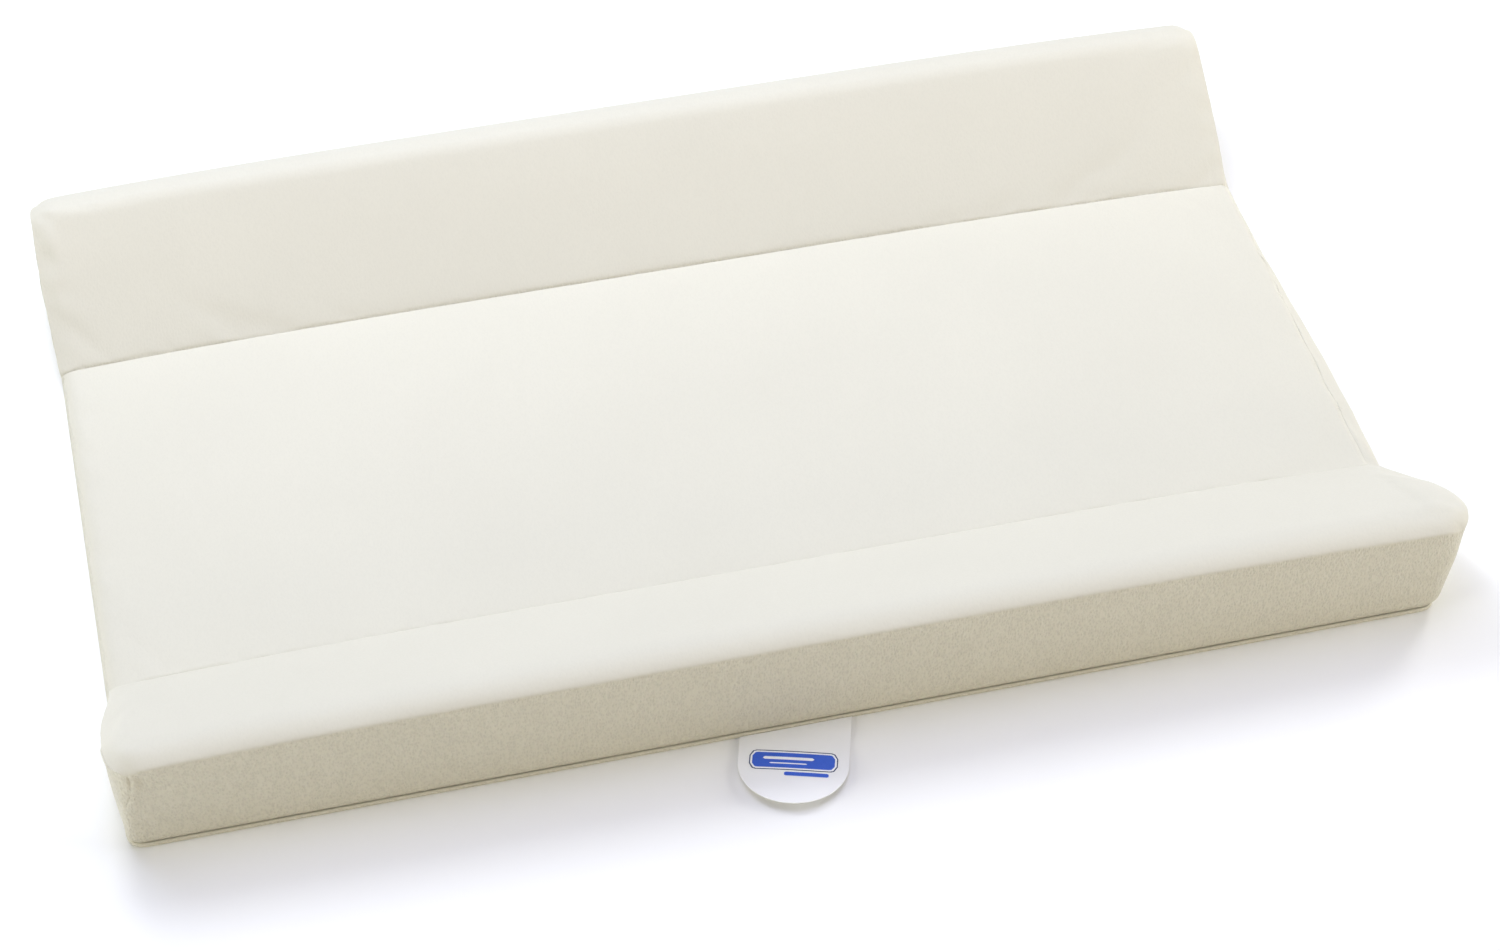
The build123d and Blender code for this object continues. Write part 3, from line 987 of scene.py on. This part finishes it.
def tag_sheet(name, u, v, thick, material):
    """A closed thin sheet on the card, from a grid of its u and v."""
    rows, columns = u.shape
    points = tag_surface(u, v).reshape(-1, 3)
    obj = piece(name, points, grid_faces(rows, columns), material, "hang_tag")
    modifier(obj, "SOLIDIFY", thickness=thick, offset=0)
    settle(obj, sharp_angle=40)
    return obj


def rounded_block(middle, width, height, radius, steps=8, columns=28):
    """Grid of u and v that fills a rounded rectangle."""
    u = np.linspace(-width / 2, width / 2, columns)
    bend = np.clip(np.abs(u) - (width / 2 - radius), 0, radius)
    half = height / 2 - radius + np.sqrt(radius**2 - bend**2)
    t = np.linspace(-1, 1, steps)
    grid_u = np.tile(u[:, None], (1, steps)) + middle[0]
    return grid_u, half[:, None] * t[None, :] + middle[1]


def make_tag():
    board = card("tag_card", (0.95, 0.955, 0.95))
    radius = TAG_WIDTH / 2
    turn = np.linspace(-math.pi / 2, math.pi / 2, 49)
    u = radius * np.sin(turn)
    foot = -u * math.tan(TAG_SLANT)
    end = TAG_REACH - radius + np.sqrt(np.maximum(radius**2 - u**2, 0))
    share = np.linspace(0, 1, 25)
    grid_v = foot[:, None] + share[None, :] * (end - foot)[:, None]
    grid_u = np.tile(u[:, None], (1, len(share)))
    obj = tag_sheet("tag_card", grid_u, grid_v, TAG_THICK, board)
    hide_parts("hang_tag")
    blue = ink("tag_ink_blue", (0.03, 0.11, 0.60))
    dark = ink("tag_ink_dark", (0.03, 0.05, 0.14))
    white = ink("tag_ink_white", (0.88, 0.89, 0.92))
    middle = 27 * MM
    # Each print's name, place, width, height, corner radius, ink, and how far its layer stands up
    prints = (
        ("frame", (0, middle), 52 * MM, 15.5 * MM, 4.5 * MM, dark, 0.03 * MM),
        ("line", (0, middle), 50.6 * MM, 14.1 * MM, 4 * MM, white, 0.05 * MM),
        ("block", (0, middle), 48.4 * MM, 11.9 * MM, 3 * MM, blue, 0.07 * MM),
        ("bar", (-3 * MM, middle - 1.6 * MM), 30 * MM, 2.2 * MM, 1 * MM, white, 0.09 * MM),
        ("rule", (-3 * MM, middle + 2.4 * MM), 22 * MM, 0.9 * MM, 0.4 * MM, white, 0.09 * MM),
        ("strip", (8 * MM, middle + 10.6 * MM), 26 * MM, 3 * MM, 0.6 * MM, blue, 0.05 * MM),
    )
    for name, place, width, height, corner, colour, lift in prints:
        grid_u, grid_v = rounded_block(place, width, height, corner)
        shape = tag_sheet(f"tag_print_{name}", grid_u, grid_v, 0.02 * MM, colour)
        shape.data.transform(Matrix.Translation((0, 0, TAG_THICK / 2 + lift)))


# ---------------------------------------------------------------- scene


def area_light(name, place, aim, size, power, colour):
    data = bpy.data.lights.new(name, "AREA")
    data.shape = "RECTANGLE"
    data.size, data.size_y = size
    data.energy = power
    data.color = colour
    obj = bpy.data.objects.new(name, data)
    obj.location = place
    obj.visible_camera = False
    obj.rotation_euler = (Vector(aim) - Vector(place)).to_track_quat("-Z", "Y").to_euler()
    bpy.context.scene.collection.objects.link(obj)


WHITE_FROM = 0.52  # distances from the origin between which the floor turns plain white
WHITE_BEYOND = 0.9
WORLD_LIGHT = 0.04  # the world's strength for everything but the camera


def white_far_off(m):
    """Let the floor turn plain white away from the pad, as a lit studio sweep does."""
    away = m.add("ShaderNodeVectorMath", operation="LENGTH")
    m.link(m.place, away.inputs[0])
    share = m.add("ShaderNodeMapRange", interpolation_type="SMOOTHSTEP")
    share.inputs["From Min"].default_value = WHITE_FROM
    share.inputs["From Max"].default_value = WHITE_BEYOND
    m.link(away.outputs["Value"], share.inputs["Value"])
    white = m.add("ShaderNodeEmission")
    mix = m.add("ShaderNodeMixShader", Fac=share.outputs[0])
    m.link(m.shader.outputs[0], mix.inputs[1])
    m.link(white.outputs[0], mix.inputs[2])
    m.link(mix.outputs[0], m.tree.nodes["Material Output"].inputs["Surface"])


def make_stage():
    m = Nodes("floor", 0.8)
    m.colour(m.mixed(m.noise(m.place, 3, 2.0), rgb(0.955, 0.955, 0.93), rgb(0.965, 0.965, 0.94)))
    white_far_off(m)
    half = 6.0
    corners = [(-half, -half, 0), (half, -half, 0), (half, half, 0), (-half, half, 0)]
    piece("floor", corners, [(0, 1, 2, 3)], m.material)
    aim = (0, 0, 0.03)
    area_light("overhead", (0, 0.3, 2.0), aim, (2.0, 1.5), 23.1, (0.765, 0.785, 1.025))
    area_light("back", (-0.5, 1.2, 1.4), aim, (1.6, 0.8), 16.5, (0.7, 0.79, 0.97))
    area_light("back_left", (-0.47, 1.35, 1.67), aim, (0.5, 1.0), 13.3, (1.0, 1.0, 1.0))
    area_light("back_right", (1.55, 0.91, 1.27), aim, (0.5, 1.0), 14.0, (1.0, 1.0, 1.0))
    area_light("left", (-2.3, -0.6, 0.8), aim, (1.2, 1.0), 26.7, (1.0, 1.0, 0.94))
    area_light("right", (2.3, -0.6, 0.8), aim, (1.2, 1.0), 26.0, (1.0, 1.0, 1.0))
    area_light("front", (0.6, -2.4, 0.5), aim, (1.6, 0.7), 13.8, (1.0, 0.84, 0.58))
    world = bpy.data.worlds.new("world")
    world.use_nodes = True
    nodes = world.node_tree.nodes
    background = nodes["Background"]
    background.inputs["Color"].default_value = (1, 1, 1, 1)
    path = nodes.new("ShaderNodeLightPath")
    strength = nodes.new("ShaderNodeMapRange")
    strength.inputs["To Min"].default_value = WORLD_LIGHT
    strength.inputs["To Max"].default_value = 1.0
    world.node_tree.links.new(path.outputs["Is Camera Ray"], strength.inputs["Value"])
    world.node_tree.links.new(strength.outputs["Result"], background.inputs["Strength"])
    bpy.context.scene.world = world
    bpy.context.scene.view_settings.view_transform = "Standard"


CAMERA_AZIMUTH = math.radians(13.27)
CAMERA_ELEVATION = math.radians(46.12)
CAMERA_ROLL = math.radians(-0.13)
CAMERA_DISTANCE = 2.168
CAMERA_AIM = (0.0149, -0.0426, 0.0)
CAMERA_LENS = 82.34


def make_camera():
    data = bpy.data.cameras.new("camera")
    data.lens = CAMERA_LENS
    data.sensor_width = 36
    camera = bpy.data.objects.new("camera", data)
    level = math.cos(CAMERA_ELEVATION)
    ahead = Vector(
        (
            math.sin(CAMERA_AZIMUTH) * level,
            math.cos(CAMERA_AZIMUTH) * level,
            -math.sin(CAMERA_ELEVATION),
        )
    )
    camera.location = Vector(CAMERA_AIM) - CAMERA_DISTANCE * ahead
    level_turn = ahead.to_track_quat("-Z", "Y").to_matrix().to_4x4()
    camera.rotation_euler = (level_turn @ Matrix.Rotation(CAMERA_ROLL, 4, "Z")).to_euler()
    bpy.context.scene.collection.objects.link(camera)
    bpy.context.scene.camera = camera


make_camera()
cover_points = make_cover()
make_welt()
make_base_cloth()
make_foam()
make_zip()
make_stitching(cover_points)
make_tag()
make_stage()
